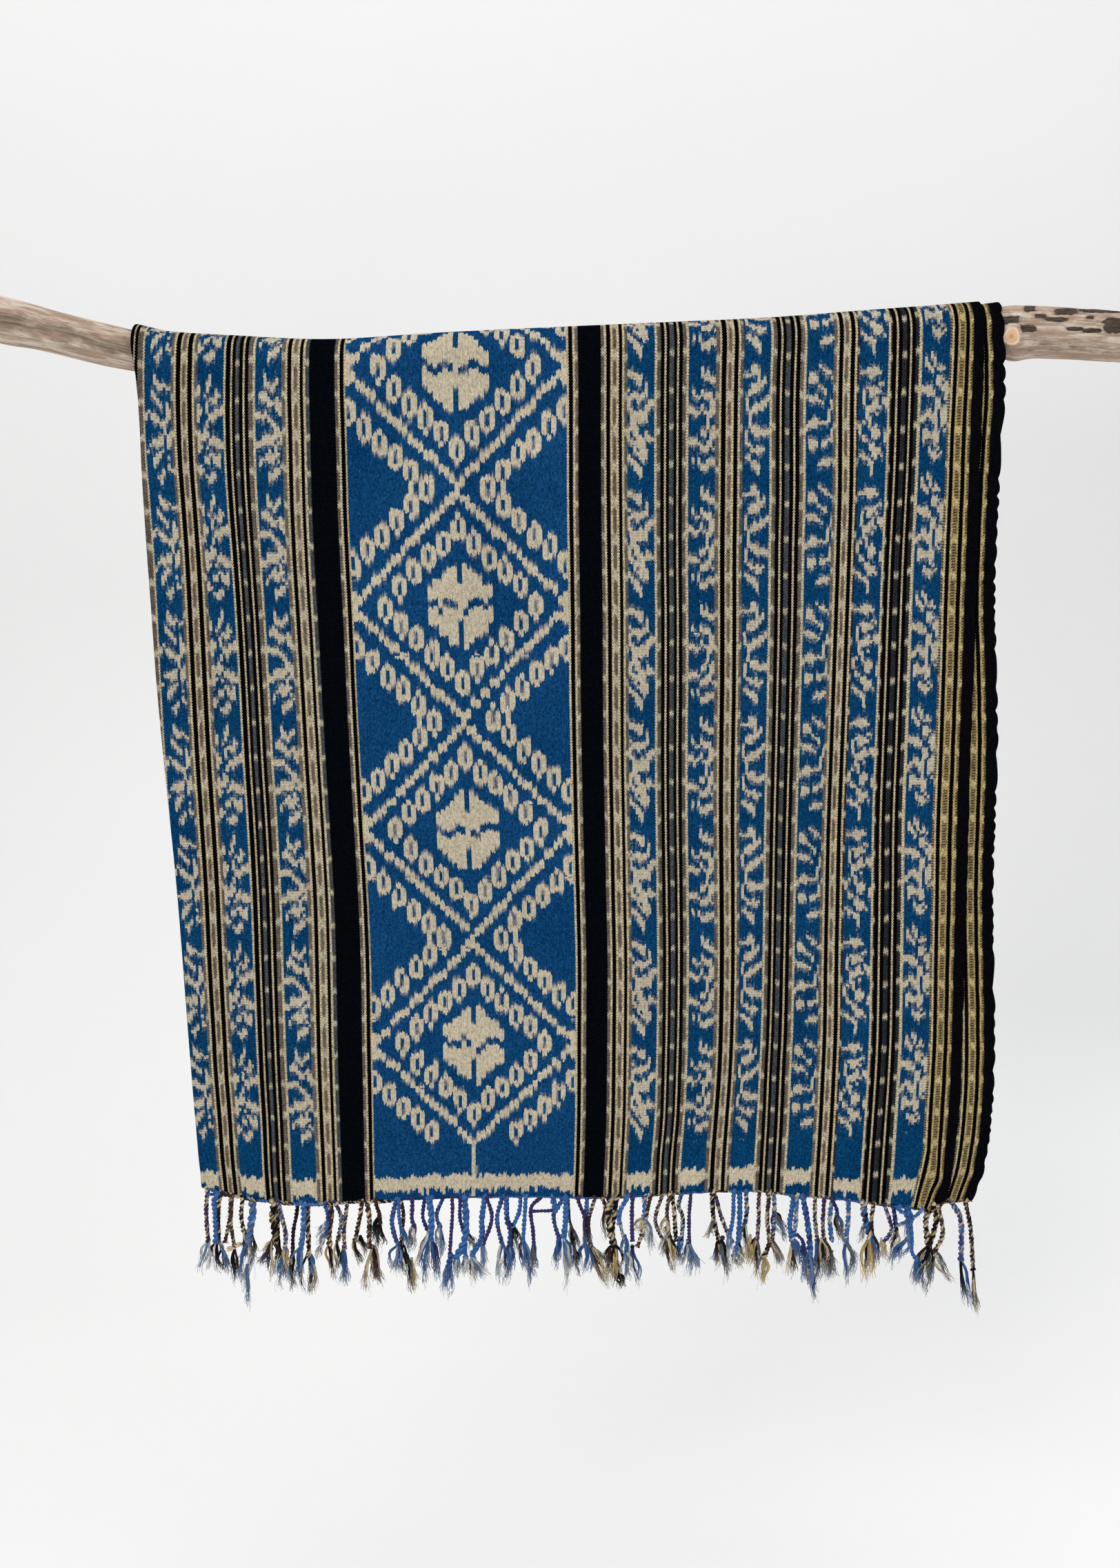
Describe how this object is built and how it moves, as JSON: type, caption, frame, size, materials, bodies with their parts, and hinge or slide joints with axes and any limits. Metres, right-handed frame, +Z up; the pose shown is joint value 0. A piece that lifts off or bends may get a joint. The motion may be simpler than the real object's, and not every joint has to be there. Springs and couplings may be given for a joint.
{
  "type": "ikat woven cloth on a driftwood branch",
  "caption": "Striped ikat cloth with fringed ends, folded lengthwise and hung over a driftwood branch, as a wall hanging or display textile.",
  "frame": {"origin": "centre of the branch's sawn left end face", "axes": "+X along the branch from its left end to its right end, +Z up, -Y towards the viewer of the cloth's front"},
  "size_m": [0.868, 0.0508, 0.7834],
  "materials": {
    "ikat_cotton": "matte hand-woven cotton, indigo ikat bands between black and cream warp stripes",
    "fringe_yarn": "matte twisted cotton cords with frayed ends",
    "driftwood": "weathered, dry, unvarnished"
  },
  "bodies": {
    "root": {"cloth": "ikat_cotton", "fringe_front": "fringe_yarn", "fringe_back": "fringe_yarn", "branch": "driftwood"}
  },
  "joints": []
}
